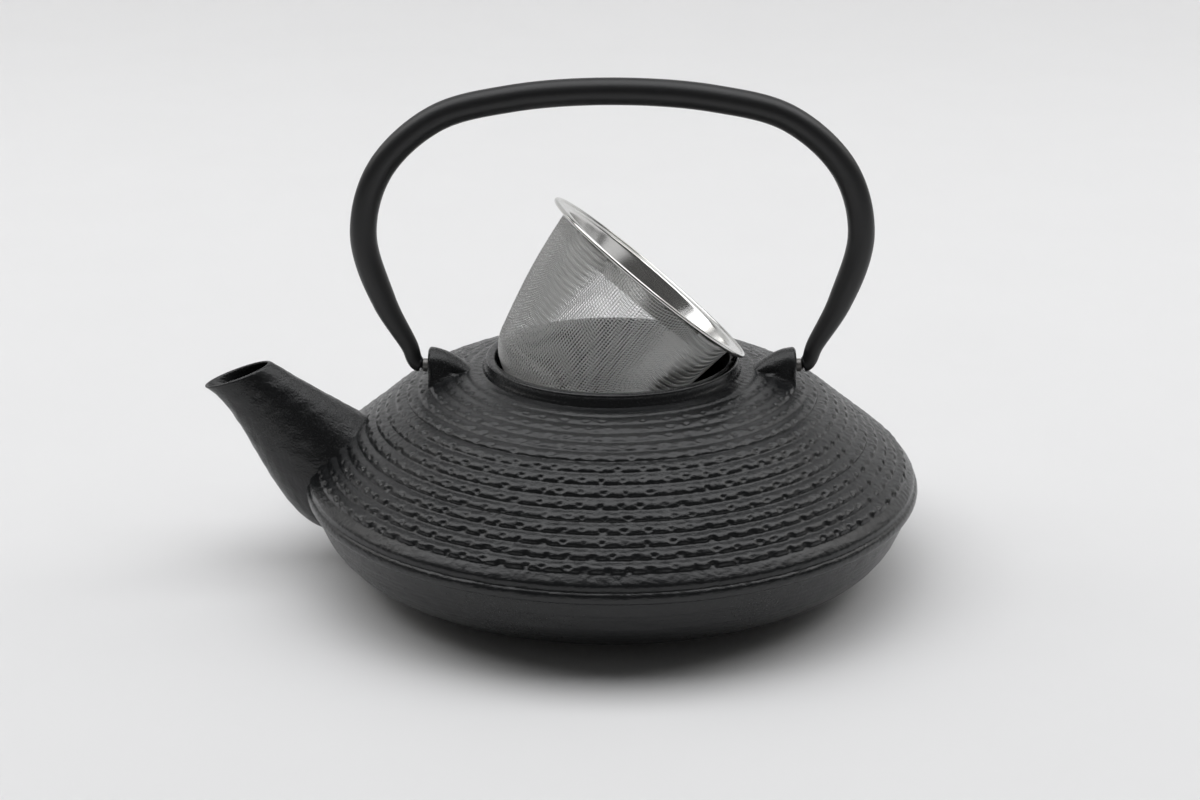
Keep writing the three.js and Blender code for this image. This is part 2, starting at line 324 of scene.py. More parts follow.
def shoulder_zone(name, start, end, columns):
    """A band of the shoulder, closed underneath, meshed as finely as its relief needs."""
    lengths = np.linspace(start, end, round((end - start) / row_step) + 1)
    place, normal = at_lengths(shoulder_line, lengths)
    turn = np.linspace(0, 2 * math.pi, columns, endpoint=False)
    relief = ring_relief(lengths, turn) * (lengths < dome_length)[:, None]
    bare = turned_rows(np.repeat(place[:, None, :], columns, 1), columns)
    relief += cast_texture(bare, cast_seed, cast_lump, cast_relief)
    relief += wander(turn, *shoulder_wander)
    relief *= np.clip((shoulder_length - lengths) / seam_fade, 0, 1)[:, None]
    outer = place[:, None, :] + normal[:, None, :] * relief[..., None]
    inner = (place - normal * skin_thickness)[::-inner_row_skip]
    inner = np.repeat(inner[:, None, :], columns, 1)
    piece = skin(name, turned_rows(np.concatenate([outer, inner]), columns)[::-1], loop=True)
    piece.data.set_sharp_from_angle(angle=casting_edge)
    return piece


upper_break = first_groove + crown_rings * ring_pitch
lower_break = first_groove + upper_rings * ring_pitch
shoulder = [
    shoulder_zone("shoulder_crown", 0, upper_break, columns=640),
    shoulder_zone("shoulder_rings_upper", upper_break, lower_break, columns=1150),
    shoulder_zone("shoulder_rings_lower", lower_break, shoulder_length, columns=1140),
]
lacquered_iron("lacquered_iron_rings", shoulder, grain_depth=0.15, sheen=0.22, grain_size=0.6)
for zone in shoulder:
    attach(zone, "pot")
    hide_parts("pot_shoulder")

# ---------------------------------------------------------------------------------------------
# Bowl of the pot: the lower half of the same casting, plain below the bead, drawn in to a low
# foot. Faint turning lines from the mould run round it.
bowl_points = [(62.5, 2), (74, 5), (82, 9), (87, 14), (90, 20), (seam_radius, seam_height)]
bowl_rows = 110
bowl_row_skip = 8
bowl_steps = 420
turning_seed = 3
turning_relief = 0.035
turning_blur = (0.25, 0.5, 0.25)
bowl_wander = (11, 0.05)
bowl_lumps = (19, 2.2, 0.035)
bowl_line = smooth_line(bowl_points)
bowl_lengths = np.linspace(0, length_along(bowl_line)[-1], bowl_rows)
bowl_place, bowl_normal = at_lengths(bowl_line, bowl_lengths)
bowl_turn = np.linspace(0, 2 * math.pi, bowl_steps, endpoint=False)
turning = np.random.default_rng(turning_seed).normal(0, turning_relief, bowl_rows)
turning = np.convolve(turning, turning_blur, "same")
bowl_relief = turning[:, None] + wander(bowl_turn, *bowl_wander)
bare_bowl = turned_rows(np.repeat(bowl_place[:, None, :], bowl_steps, 1), bowl_steps)
bowl_relief += cast_texture(bare_bowl, *bowl_lumps)
bowl_outer = bowl_place[:, None, :] - bowl_normal[:, None, :] * bowl_relief[..., None]
bowl_inner = (bowl_place + bowl_normal * skin_thickness)[::-bowl_row_skip, None, :]
bowl_inner = np.repeat(bowl_inner, bowl_steps, 1)
bowl_skin = np.concatenate([bowl_outer, bowl_inner])
bowl = skin("bowl_shell", turned_rows(bowl_skin, bowl_steps), loop=True)
bowl.data.set_sharp_from_angle(angle=casting_edge)
lacquered_iron("lacquered_iron_bowl", [bowl], grain_depth=0.1, sheen=0.3, grain_size=0.8)
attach(bowl, "pot")
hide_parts("pot_bowl")

# ---------------------------------------------------------------------------------------------
# Foot: the low pad cast under the bowl, which the pot stands on. It is ground flat and hollowed
# a little underneath, so that only its rim touches the table.
foot_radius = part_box("pot_foot")[1].x / MM
foot_steps = 160
foot_line = np.array(
    [
        (0.5, 0.9),
        (50, 0.9),
        (53.5, 0.6),
        (55, 0.1),
        (56, 0),
        (foot_radius - 1, 0),
        (foot_radius - 0.3, 0.3),
        (foot_radius, 0.9),
        (foot_radius, 2.3),
        (0.5, 2.3),
    ]
)
foot = skin("foot_pad", turned_rows(foot_line, foot_steps), start_cap=True, end_cap=True)
lacquered_iron("lacquered_iron_foot", [foot], grain_depth=0.08, sheen=0.5)
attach(foot, "pot")
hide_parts("pot_foot")

# ---------------------------------------------------------------------------------------------
# Collar: the plain upright ring round the mouth, cast with the shoulder and turned true, with
# a rounded lip inside and a narrow bevel outside where the infuser's flange sits.
mouth_radius = 35.4
collar_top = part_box("mouth_collar")[1].z / MM
neck_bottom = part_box("mouth_collar")[0].z / MM
collar_steps = 320
collar_wander = (5, 0.04)
neck_rows = 3


def corner(centre_r, centre_z, radius, start, end, steps=6):
    """A rounded corner of a turned outline, from one angle in degrees to another."""
    a = np.radians(np.linspace(start, end, steps))
    return np.stack([centre_r + radius * np.cos(a), centre_z + radius * np.sin(a)], 1)


collar_line = np.vstack(
    [
        [(mouth_radius, neck_bottom - 0.5), (collar_radius - 0.3, neck_bottom - 0.5)],
        [(collar_radius + 1.0, 62.7), (collar_radius + 0.25, 63.25)],
        corner(collar_radius - 0.9, collar_top - 0.9, 0.9, 0, 90),
        corner(mouth_radius + 0.8, collar_top - 0.8, 0.8, 90, 180),
    ]
)
collar_turn = np.linspace(0, 2 * math.pi, collar_steps, endpoint=False)
collar_rows = np.repeat(collar_line[:, None, :], collar_steps, 1)
collar_rows[neck_rows:, :, 0] += wander(collar_turn, *collar_wander)
collar = skin("mouth_collar_ring", turned_rows(collar_rows, collar_steps), loop=True)
lacquered_iron("lacquered_iron_collar", [collar], grain_depth=0.09, sheen=0.26, grain_size=0.7)
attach(collar, "pot")
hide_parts("mouth_collar")

# ---------------------------------------------------------------------------------------------
# Spout: cast hollow on the side of the belly, a flattened tube that starts deep and wide at
# the wall and draws up to a narrow level lip. Its skin keeps the texture of the sand.
spout_top = [(-64, 40), (-76, 46.5), (-90, 54.5), (-103.5, 63.6)]
spout_under = [(-84, 10.5), (-104, 8), (-110, 49), (-124, 56.2)]
root_half_width = 19
tip_half_width = 6.8
width_draw = 1.5
spout_wall = 1.9
bore_half = 8.5
lip_thinning = 0.7
lip_thinning_draw = 4
lip_flare = 1.2
lip_rows = 9
lip_start = 0.985
skin_root_depth = 1.7
bore_root_depth = 3.3
root_search = (1, -0.9)
root_search_steps = 700
wall_samples = 400
spout_steps = 120
spout_rows = 110
bore_row_skip = 3
spout_seed = 21
spout_lump = 1.8
spout_relief = 0.05
lip_fade = 12
outer_line = np.vstack([bowl_line, shoulder_line[::-1]])


def bent(points, t):
    """Points on a Bezier outline; before its start it runs straight on."""
    p = np.array(points, float)
    inside = np.clip(t, 0, 1)[..., None]
    s = 1 - inside
    on = s**3 * p[0] + 3 * s**2 * inside * p[1] + 3 * s * inside**2 * p[2] + inside**3 * p[3]
    return on + np.minimum(t, 0)[..., None] * 3 * (p[1] - p[0])


def spout_point(t, a, bore):
    """A point on the spout's skin (bore 0) or on its bore (bore 1), along t and round by a."""
    high = bent(spout_top, t)
    low = bent(spout_under, t)
    half = np.linalg.norm(high - low, axis=-1) / 2
    up = (high - low) / (2 * half[..., None])
    to_tip = (1 - np.minimum(t, 1)) ** width_draw
    width = tip_half_width + (root_half_width - tip_half_width) * to_tip
    thinning = np.clip(t, 0, 1) ** lip_thinning_draw
    wall = spout_wall - lip_thinning * thinning
    tall = half + bore * (np.minimum(half - wall, bore_half + lip_flare * thinning) - half)
    wide = width + bore * (np.minimum(width - wall, bore_half) - width)
    centre = (high + low) / 2 + up * (np.cos(a) * tall)[..., None]
    return np.stack([centre[..., 0], np.sin(a) * wide, centre[..., 1]], -1)


def wall_radius(height, depth):
    """The pot's radius at this height, this deep below its outer skin."""
    lengths = np.linspace(0, length_along(outer_line)[-1], wall_samples)
    along, left = at_lengths(outer_line, lengths)
    moved = along + left * depth
    order = np.argsort(moved[:, 1])
    return np.interp(height, moved[order, 1], moved[order, 0])


def root_of_spout(a, bore, depth):
    """Where along the spout each fibre of it reaches this depth in the pot's wall."""
    reach = np.linspace(*root_search, root_search_steps)
    t, around = np.meshgrid(reach, a, indexing="ij")
    p = spout_point(t, around, bore)
    outside = np.hypot(p[..., 0], p[..., 1]) > wall_radius(p[..., 2], depth)
    first_inside = np.argmin(outside, 0)
    return reach[first_inside]


around = np.linspace(0, 2 * math.pi, spout_steps, endpoint=False)
skin_root = root_of_spout(around, 0, skin_root_depth)
bore_root = root_of_spout(around, 1, bore_root_depth)
share = np.linspace(0, 1, spout_rows)[:, None]
skin_t = skin_root + (lip_start - skin_root) * share
bore_t = bore_root + (lip_start - bore_root) * share[::-bore_row_skip]
spread = np.broadcast_to(around, skin_t.shape)
outside_rows = spout_point(skin_t, spread, 0)
lumps = cast_texture(outside_rows, spout_seed, spout_lump, spout_relief)[..., None]
middle = outside_rows.mean(1, keepdims=True)
away = outside_rows - middle
away /= np.linalg.norm(away, axis=-1, keepdims=True)
fade = np.clip((1 - share) * lip_fade, 0, 1)[..., None]
outside_rows = outside_rows + away * lumps * fade
lip_turn = np.linspace(0, math.pi, lip_rows + 2)[1:-1, None]
lip_spread = np.broadcast_to(around, (lip_rows, spout_steps))
lip_place = np.broadcast_to((1 - np.cos(lip_turn)) / 2, lip_spread.shape)
lip_t = np.broadcast_to(lip_start + (1 - lip_start) * np.sin(lip_turn), lip_spread.shape)
lip = spout_point(lip_t, lip_spread, lip_place)
bore_rows = spout_point(bore_t, np.broadcast_to(around, bore_t.shape), 1)
spout = skin("spout_casting", np.concatenate([outside_rows, lip, bore_rows]), loop=True)
lacquered_iron("lacquered_iron_spout", [spout], grain_depth=0.2, sheen=0.25, grain_size=0.7)
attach(spout, "pot")
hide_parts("spout")

# ---------------------------------------------------------------------------------------------
# Lining: the inside of the casting, coated with a thin dark glassy enamel that runs from the
# floor of the pot up to the mouth, with the way out to the spout cut through it.
centre_radius = 0.5
floor_top = 5.4
floor_radius = 55
floor_rows = 14
lining_back_depth = 1.4
lining_back_rows = 60
lining_base = [(62, 2.2), (centre_radius, 2.2)]
channel_reach = (-1.2, 1)
channel_rows = 40
cut_edge = math.radians(40)
thin_enamel = (0.006, 0.006, 0.007, 1)
pooled_enamel = (0.013, 0.013, 0.015, 1)
lining_points = [
    (56, floor_top),
    (70, 8),
    (81, 12.6),
    (86.4, 18),
    (88.2, seam_height),
    (84, 32.6),
    (72.6, 42.2),
    (61, 51.2),
    (49, 56.4),
    (mouth_radius, neck_bottom),
]
lining_steps = 200
lining_line = smooth_line(lining_points, 10)
floor_line = [(r, floor_top) for r in np.linspace(centre_radius, floor_radius, floor_rows)]
back_lengths = np.linspace(0.5, length_along(outer_line)[-1] - 1, lining_back_rows)
back_place, back_left = at_lengths(outer_line, back_lengths)
lining_back = (back_place + back_left * lining_back_depth)[::-1]
lining_profile = np.vstack([floor_line, lining_line, lining_back, lining_base])
lining_rows = turned_rows(lining_profile, lining_steps)[::-1]
lining = skin("pot_lining", lining_rows, start_cap=True, end_cap=True)
channel_t = np.linspace(*channel_reach, channel_rows)[:, None]
channel_spread = np.broadcast_to(around, (channel_rows, spout_steps))
channel = skin("channel", spout_point(channel_t, channel_spread, 1), start_cap=True, end_cap=True)


def cut_away(piece, tool):
    """Takes the tool's volume out of the piece and removes the tool."""
    cut = piece.modifiers.new("cut", "BOOLEAN")
    cut.operation = "DIFFERENCE"
    cut.solver = "EXACT"
    cut.object = tool
    bpy.context.view_layer.update()
    graph = bpy.context.evaluated_depsgraph_get()
    made = bpy.data.meshes.new_from_object(piece.evaluated_get(graph))
    piece.modifiers.clear()
    piece.data = made
    piece.data.set_sharp_from_angle(angle=cut_edge)
    bpy.data.objects.remove(tool)


cut_away(lining, channel)
enamel = Finish("dark_enamel")
pooling = enamel.grain(14, 3, 0.5)
enamel.coat(
    [lining],
    {
        "Base Color": enamel.mix(pooling, thin_enamel, pooled_enamel),
        "Roughness": 0.16 + pooling * 0.14,
        "Normal": enamel.bump(enamel.grain(6, 2), 0.12),
    },
)
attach(lining, "pot")
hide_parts("pot_bowl", "pot_shoulder")

# ---------------------------------------------------------------------------------------------
# Lugs: two small iron hoods cast on the shoulder, each with an upright arched face that is
# drilled for a hinge pin, and a back that falls away to the collar.
lug_face = 55.5
lug_length = 13.5
lug_half_width = 6.2
lug_back_half_width = 3.4
lug_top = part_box("lug_back_side")[1].z / MM
lug_back_top = 61.6
lug_fall = 1.9
hole_height = 62.7
hole_radius = 2.25
hole_bottom = 47.8
hole_profile = [
    (hole_bottom, 0),
    (51, 0),
    (54.6, 0),
    (lug_face - 0.45, 0),
    (lug_face - 0.12, 0.18),
    (lug_face, 0.5),
]
face_round = 1.1
face_shares = (0.25, 0.5, 0.75, 1)
face_turns = (15, 30, 45, 60, 75)
foot_flare = 1.3
flare_height = 0.9
buried_foot = 1.3
buried_back = 0.3
centre_sink = 0.9
side_steps, arch_steps, base_steps = 40, 60, 30
lug_around = 96
lug_sections = 26
lug_seed = 30
lug_lump = 1.6
lug_relief = 0.025
lug_relief_below = 0.08


def shoulder_height(r):
    return np.interp(r, dome_line[:, 0], dome_line[:, 1])


def lug_outline(share, shrink):
    """The lug's section at a share of its length, as radii round its centre by angle."""
    half = lug_half_width + (lug_back_half_width - lug_half_width) * share - shrink
    top = lug_top + (lug_back_top - lug_top) * share**lug_fall - shrink
    x = lug_face - lug_length * share
    base = shoulder_height(x)
    top = max(top, base - buried_back)
    centre = hole_height + (base - centre_sink - hole_height) * share
    arch = np.radians(np.linspace(0, 180, arch_steps))
    crown = min(half, max(top - base, 0.5))
    side_z = np.linspace(base - buried_foot, top - crown, side_steps)
    flare = foot_flare * np.exp(-np.maximum(side_z - base, 0) / flare_height)
    right = np.stack([half + flare, side_z], 1)
    cap = np.stack([half * np.cos(arch), top - crown + crown * np.sin(arch)], 1)
    left = np.stack([-half - flare, side_z], 1)[::-1]
    floor = [(y, base - buried_foot) for y in np.linspace(-half, half, base_steps)]
    ring = np.vstack([right, cap, left, floor])
    angle = np.arctan2(ring[:, 1] - centre, ring[:, 0])
    reach = np.hypot(ring[:, 0], ring[:, 1] - centre)
    order = np.argsort(angle)
    wanted = np.linspace(-math.pi, math.pi, lug_around, endpoint=False)
    return wanted, np.interp(wanted, angle[order], reach[order], period=2 * math.pi), centre


def lug_ring(side, x, wanted, reach, centre):
    across, up = reach * np.cos(wanted), centre + reach * np.sin(wanted)
    return np.stack([np.full_like(wanted, side * x), across, up], -1)


def lug_piece(name, side):
    wanted, face_reach, centre = lug_outline(0, face_round)
    round_hole = np.full(lug_around, hole_radius)
    rows = [lug_ring(side, x, wanted, round_hole + wider, centre) for x, wider in hole_profile]
    hole_edge = round_hole + hole_profile[-1][1]
    for part in face_shares:
        between = hole_edge * (1 - part) + face_reach * part
        rows.append(lug_ring(side, lug_face, wanted, between, centre))
    for turn in np.radians(face_turns):
        _, reach, _ = lug_outline(0, face_round * (1 - math.sin(turn)))
        x = lug_face - face_round * (1 - math.cos(turn))
        rows.append(lug_ring(side, x, wanted, reach, centre))
    for part in np.linspace(face_round / lug_length, 1, lug_sections):
        wanted, reach, centre = lug_outline(part, 0)
        rows.append(lug_ring(side, lug_face - lug_length * part, wanted, reach, centre))
    rows = np.array(rows)
    rough = cast_texture(rows, lug_seed + side, lug_lump, lug_relief) - lug_relief_below
    rough *= (np.arange(len(rows)) >= len(hole_profile))[:, None]
    away = rows - rows.mean(1, keepdims=True)
    away /= np.linalg.norm(away, axis=-1, keepdims=True)
    rows += away * rough[..., None]
    if side > 0:
        rows = rows[:, ::-1]
    piece = skin(name, rows, start_cap=True, end_cap=True)
    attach(piece, "pot")
    return piece


lugs = [lug_piece("lug_hood_spout_side", -1), lug_piece("lug_hood_back_side", 1)]
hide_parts("lug_spout_side")
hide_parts("lug_back_side")
lacquered_iron("lacquered_iron_lugs", lugs, grain_depth=0.14, sheen=0.27, grain_size=0.6)

# ---------------------------------------------------------------------------------------------
# Handle: a steel tube bent to a tall rounded arch and drawn down toward its turned-in ends,
# which carry the hinge pins. It has a matt black powder coat with a fine orange peel.
pin_shoulder = 57.4
handle_radius = 4
handle_end_radius = 2.15
taper_bottom = hole_height - 6
taper_top = 93
arch_half = [
    (pin_shoulder + 0.2, hole_height),
    (59, 63.3),
    (59.9, 64.8),
    (61, 68.4),
    (68.3, 82.6),
    (73.9, 103.5),
    (68.4, 123),
    (52, 138.2),
    (30, 144.2),
]
arch_points = [(-x, z) for x, z in arch_half] + [(0, 146.4)] + arch_half[::-1]
tube_around = 40
tube_stations = 360
span_steps = 60
end_crowding = 0.6
end_round = 0.7
thick_powder = (0.006, 0.006, 0.0066, 1)
worn_powder = (0.0105, 0.0105, 0.0112, 1)


def arch_curve(points):
    """The handle's middle line, drawn through its points without overshoot."""
    p = np.array(points, float)
    p = np.vstack([2 * p[:1] - p[1:2], p, 2 * p[-1:] - p[-2:-1]])
    runs = []
    for p0, p1, p2, p3 in zip(p[:-3], p[1:-2], p[2:-1], p[3:]):
        steps = [math.sqrt(np.linalg.norm(b - a)) for a, b in ((p0, p1), (p1, p2), (p2, p3))]
        t0, t1, t2, t3 = np.concatenate([[0], np.cumsum(steps)])
        t = np.linspace(t1, t2, span_steps, endpoint=False)[:, None]
        a1 = ((t1 - t) * p0 + (t - t0) * p1) / (t1 - t0)
        a2 = ((t2 - t) * p1 + (t - t1) * p2) / (t2 - t1)
        a3 = ((t3 - t) * p2 + (t - t2) * p3) / (t3 - t2)
        b1 = ((t2 - t) * a1 + (t - t0) * a2) / (t2 - t0)
        b2 = ((t3 - t) * a2 + (t - t1) * a3) / (t3 - t1)
        runs.append(((t2 - t) * b1 + (t - t1) * b2) / (t2 - t1))
    return np.vstack([*runs, p[-2:-1]])


arch_line = arch_curve(arch_points)
arch_length = length_along(arch_line)[-1]
# Stations stand closer together at the turned-in ends, where the bends are tight.
station = np.linspace(0, 1, tube_stations)
station = (1 - end_crowding) * station + end_crowding * (1 - np.cos(station * math.pi)) / 2
arch_place, arch_left = at_lengths(arch_line, station * arch_length)
arch_left[[0, -1]] = (0, 1)
taper = np.clip((arch_place[:, 1] - taper_bottom) / (taper_top - taper_bottom), 0, 1)
taper = taper * taper * (3 - 2 * taper)
tube_radius = handle_end_radius + (handle_radius - handle_end_radius) * taper
from_end = np.minimum(station, 1 - station) * arch_length / end_round
tube_radius = tube_radius - end_round * (1 - np.sqrt(1 - (1 - np.clip(from_end, 0, 1)) ** 2))
round_tube = np.linspace(0, 2 * math.pi, tube_around, endpoint=False)
swing_out = arch_place[:, None, :] + (
    arch_left[:, None, :] * (tube_radius[:, None] * np.cos(round_tube))[..., None]
)
tube_rows = np.stack(
    [swing_out[..., 0], tube_radius[:, None] * np.sin(round_tube), swing_out[..., 1]], -1
)
handle = skin("handle_bail", tube_rows[::-1], start_cap=True, end_cap=True)
powder = Finish("matt_black_powder_coat")
peel = powder.grain(0.9, 2, 0.5)
handling = powder.grain(30, 3, 0.5)
powder.coat(
    [handle],
    {
        "Base Color": powder.mix(handling, thick_powder, worn_powder),
        "Roughness": 0.4 + (handling - 0.5) * 0.1 + (peel - 0.5) * 0.1,
        "Normal": powder.bump(peel, 0.035),
    },
)
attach(handle, "handle")
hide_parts("handle_tube")

# ---------------------------------------------------------------------------------------------
# Hinge pins: a turned steel pin in each end of the handle, a fine tang inside the tube and a
# thicker journal that turns in the lug. They are left bare and have gone a little dull.
pin_inner_end = 49
pin_radius = 2
tang_radius = 1
tang_end = pin_shoulder + 0.8
pin_profile = [
    (pin_inner_end, 1.2),
    (pin_inner_end + 0.15, 1.5),
    (pin_inner_end + 0.6, pin_radius),
    (52.9, pin_radius),
    (53.1, pin_radius - 0.2),
    (53.6, pin_radius - 0.2),
    (53.8, pin_radius),
    (pin_shoulder - 0.35, pin_radius),
    (pin_shoulder, pin_radius - 0.35),
    (pin_shoulder, tang_radius),
    (tang_end - 0.2, tang_radius),
    (tang_end, tang_radius - 0.2),
]
pin_steps = 48
pin_around = np.linspace(0, 2 * math.pi, pin_steps, endpoint=False)
dull_steel = (0.16, 0.155, 0.15, 1)
clean_steel = (0.34, 0.33, 0.32, 1)
bare = Finish("dull_bare_steel")
tarnish = bare.grain(2.2, 4, 0.6)
pins = []
for name, node, side in (
    ("pin_spout_side", "hinge_pin_spout_side", -1),
    ("pin_back_side", "hinge_pin_back_side", 1),
):
    rows = np.array(
        [lug_ring(side, x, pin_around, r, hole_height) for x, r in pin_profile]
    )
    pin = skin(name, rows[::side], start_cap=True, end_cap=True)
    pin.data.set_sharp_from_angle(angle=cut_edge)
    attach(pin, "handle")
    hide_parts(node)
    pins.append(pin)
bare.coat(
    pins,
    {
        "Base Color": bare.mix(tarnish, dull_steel, clean_steel),
        "Metallic": 0.9,
        "Roughness": 0.3 + tarnish * 0.3,
    },
)

# ---------------------------------------------------------------------------------------------
# Infuser rim: a flat flange spun from stainless sheet with its edge rolled over, and a short
# polished sleeve below it that holds the cup's mesh. It leans with its edge hooked over the
# collar at one side and the cup against the lip at the other.
lean = math.radians(40.4)
lean_azimuth = math.radians(10.3)
flange_place = (11.114, 89.162)
flange_radius = 36.9
roll_radius = 0.65
flange_sheet = 0.45
sleeve_bore = 30.9
sleeve_wall = 0.6
sleeve_depth = 5
cup_taper = math.radians(10.7)
sleeve_draw = math.tan(cup_taper) * sleeve_depth
sleeve_foot = sleeve_bore - sleeve_draw
rim_line = np.vstack(
    [
        [(sleeve_foot + 0.1, -sleeve_depth + 0.1), (sleeve_foot + 0.3, -sleeve_depth)],
        [(sleeve_foot + sleeve_wall - 0.1, -sleeve_depth)],
        [(sleeve_foot + sleeve_wall, -sleeve_depth + 0.12)],
        [(sleeve_bore + sleeve_wall - 0.06, -0.3)],
        [(sleeve_bore + sleeve_wall + 0.25, 0), (flange_radius - 1.3, 0.0)],
        corner(flange_radius - roll_radius, roll_radius, roll_radius, -80, 160, 16),
        [(flange_radius - 1.35, flange_sheet + 0.42), (flange_radius - 1.7, flange_sheet + 0.38)],
        [(sleeve_bore + 2.0, flange_sheet + 0.38), (sleeve_bore + 1.3, flange_sheet + 0.36)],
        corner(sleeve_bore + 1.1, flange_sheet - 0.75, 1.1, 95, 170, 8),
        [(sleeve_bore - 0.02, -0.7)],
    ]
)
rim_steps = 256
rim_edge = math.radians(50)
smeared_steel = (0.62, 0.615, 0.6, 1)
bright_steel = (0.72, 0.715, 0.7, 1)
about = Matrix.Rotation(lean, 4, Vector((-math.sin(lean_azimuth), math.cos(lean_azimuth), 0)))
seat = Vector(
    (
        flange_place[0] * math.cos(lean_azimuth),
        flange_place[0] * math.sin(lean_azimuth),
        flange_place[1],
    )
)
leaning = Matrix.Translation(seat * MM) @ about
rim = skin("infuser_flange_ring", turned_rows(rim_line, rim_steps), loop=True)
rim.data.transform(leaning)
rim.data.set_sharp_from_angle(angle=rim_edge)
polished = Finish("polished_stainless")
smears = polished.grain(9, 3, 0.6)
spun = polished.grain(0.5, 2, 0.5)
polished.coat(
    [rim],
    {
        "Base Color": polished.mix(smears, smeared_steel, bright_steel),
        "Metallic": 1.0,
        "Roughness": 0.13 + smears * 0.12,
        "Normal": polished.bump(spun, 0.004),
    },
)
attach(rim, "infuser")
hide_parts("infuser_rim")

# ---------------------------------------------------------------------------------------------
# Infuser cup: plain-woven stainless wire cloth, pressed over a form so that the square weave
# shears toward the diagonals, and held at the top between the sleeve and the flange.
cup_radius = 32.3
cup_depth = 50
cup_corner = 14.5
cloth_inset = 0.3
wire_pitch = 0.92
wire_radius = 0.108
weave_lift = 0.12
wall_bulge = 0.9
top_of_cloth = -0.35
settle_rounds = 12
wire_slack = 1e-3
folded_share = 0.05
corner_sweep = math.pi / 2 - cup_taper
floor_reach = (
    cup_radius - math.tan(cup_taper) * (cup_depth - cup_corner) - cup_corner / math.cos(cup_taper)
)
corner_reach = cup_corner * corner_sweep
corner_end_z = -cup_depth + cup_corner * (1 - math.sin(cup_taper))
wall_reach = (top_of_cloth - corner_end_z) / math.cos(cup_taper)
cloth_reach = floor_reach + corner_reach + wall_reach


def cup_profile(reach):
    """The cup's radius, height and slope, this far along it from the middle of its floor."""
    sweep = np.clip((reach - floor_reach) / cup_corner, 0, corner_sweep)
    climb = np.maximum(reach - floor_reach - corner_reach, 0)
    r = np.minimum(reach, floor_reach) + cup_corner * np.sin(sweep) + climb * math.sin(cup_taper)
    r = r + wall_bulge * np.sin(math.pi * np.clip(climb / wall_reach, 0, 1))
    z = -cup_depth + cup_corner * (1 - np.cos(sweep)) + climb * math.cos(cup_taper)
    return r, z, sweep


def on_cup(reach, turn):
    r, z, _ = cup_profile(reach)
    return np.stack([r * np.cos(turn), r * np.sin(turn), z], -1)


def pressed_cloth():
    """Where the wires of one quarter of the cloth cross once it is pressed over the form.

    Each crossing is one pitch of wire from its two earlier neighbours and lies on the form.
    """
    count = int(cloth_reach / wire_pitch) + 2
    steps = np.arange(count) * wire_pitch
    reach = np.full((count, count), np.nan)
    turn = np.full((count, count), np.nan)
    reach[:, 0], turn[:, 0] = steps, 0
    reach[0, :], turn[0, :] = steps, math.pi / 2
    place = on_cup(reach, turn)
    for diagonal in range(2, 2 * count - 1):
        i = np.arange(max(1, diagonal - count + 1), min(count - 1, diagonal - 1) + 1)
        j = diagonal - i
        known = ~np.isnan(reach[i - 1, j] + reach[i, j - 1] + reach[i - 1, j - 1])
        i, j = i[known], j[known]
        if not len(i):
            continue
        beside, below, before = place[i - 1, j], place[i, j - 1], place[i - 1, j - 1]
        guess = beside + below - before
        s = np.maximum(reach[i - 1, j] + reach[i, j - 1] - reach[i - 1, j - 1], wire_pitch)
        f = np.arctan2(guess[:, 1], guess[:, 0])
        for _ in range(settle_rounds):
            here = on_cup(s, f)
            nudge = 1e-4
            by_s = (on_cup(s + nudge, f) - here) / nudge
            by_f = (on_cup(s, f + nudge) - here) / nudge
            u, v = here - beside, here - below
            miss_u = (u * u).sum(-1) - wire_pitch**2
            miss_v = (v * v).sum(-1) - wire_pitch**2
            us, uf = 2 * (u * by_s).sum(-1), 2 * (u * by_f).sum(-1)
            vs, vf = 2 * (v * by_s).sum(-1), 2 * (v * by_f).sum(-1)
            turnover = us * vf - uf * vs
            turnover = np.where(np.abs(turnover) < 1e-9, 1e-9, turnover)
            ds = (uf * miss_v - vf * miss_u) / turnover
            df = (vs * miss_u - us * miss_v) / turnover
            calm = np.minimum(1, 0.5 * wire_pitch / np.maximum(np.abs(ds), 1e-12))
            s, f = s + ds * calm, f + df * calm
        here = on_cup(s, f)
        gap_u = np.abs(np.linalg.norm(here - beside, axis=-1) - wire_pitch)
        gap_v = np.abs(np.linalg.norm(here - below, axis=-1) - wire_pitch)
        folded = np.linalg.norm(here - before, axis=-1) < folded_share * wire_pitch
        lost = (gap_u > wire_slack) | (gap_v > wire_slack) | folded
        lost = lost | (s > cloth_reach + 2 * wire_pitch)
        reach[i, j] = np.where(lost, np.nan, s)
        turn[i, j] = np.where(lost, np.nan, f)
        place[i, j] = np.where(lost[:, None], np.nan, here)
    return reach, turn


quarter_reach, quarter_turn = pressed_cloth()
half_count = len(quarter_reach) - 1
lines = np.arange(-half_count, half_count + 1)
lay = np.abs(lines)
cloth_s = quarter_reach[np.ix_(lay, lay)]
cloth_f = quarter_turn[np.ix_(lay, lay)]
sign_x = np.where(lines < 0, -1, 1)[:, None]
sign_y = np.where(lines < 0, -1, 1)[None, :]
cloth_r, cloth_z, slope = cup_profile(cloth_s)
facing_x = sign_x * np.cos(cloth_f)
facing_y = sign_y * np.sin(cloth_f)
outward = np.stack([np.sin(slope) * facing_x, np.sin(slope) * facing_y, -np.cos(slope)], -1)
crossing = np.stack([cloth_r * facing_x, cloth_r * facing_y, cloth_z], -1) - outward * cloth_inset
crossing[cloth_s > cloth_reach] = np.nan
over = np.where((lines[:, None] + lines[None, :]) % 2, 1.0, -1.0)[..., None]
wire_round = np.radians([315, 225, 135, 45])


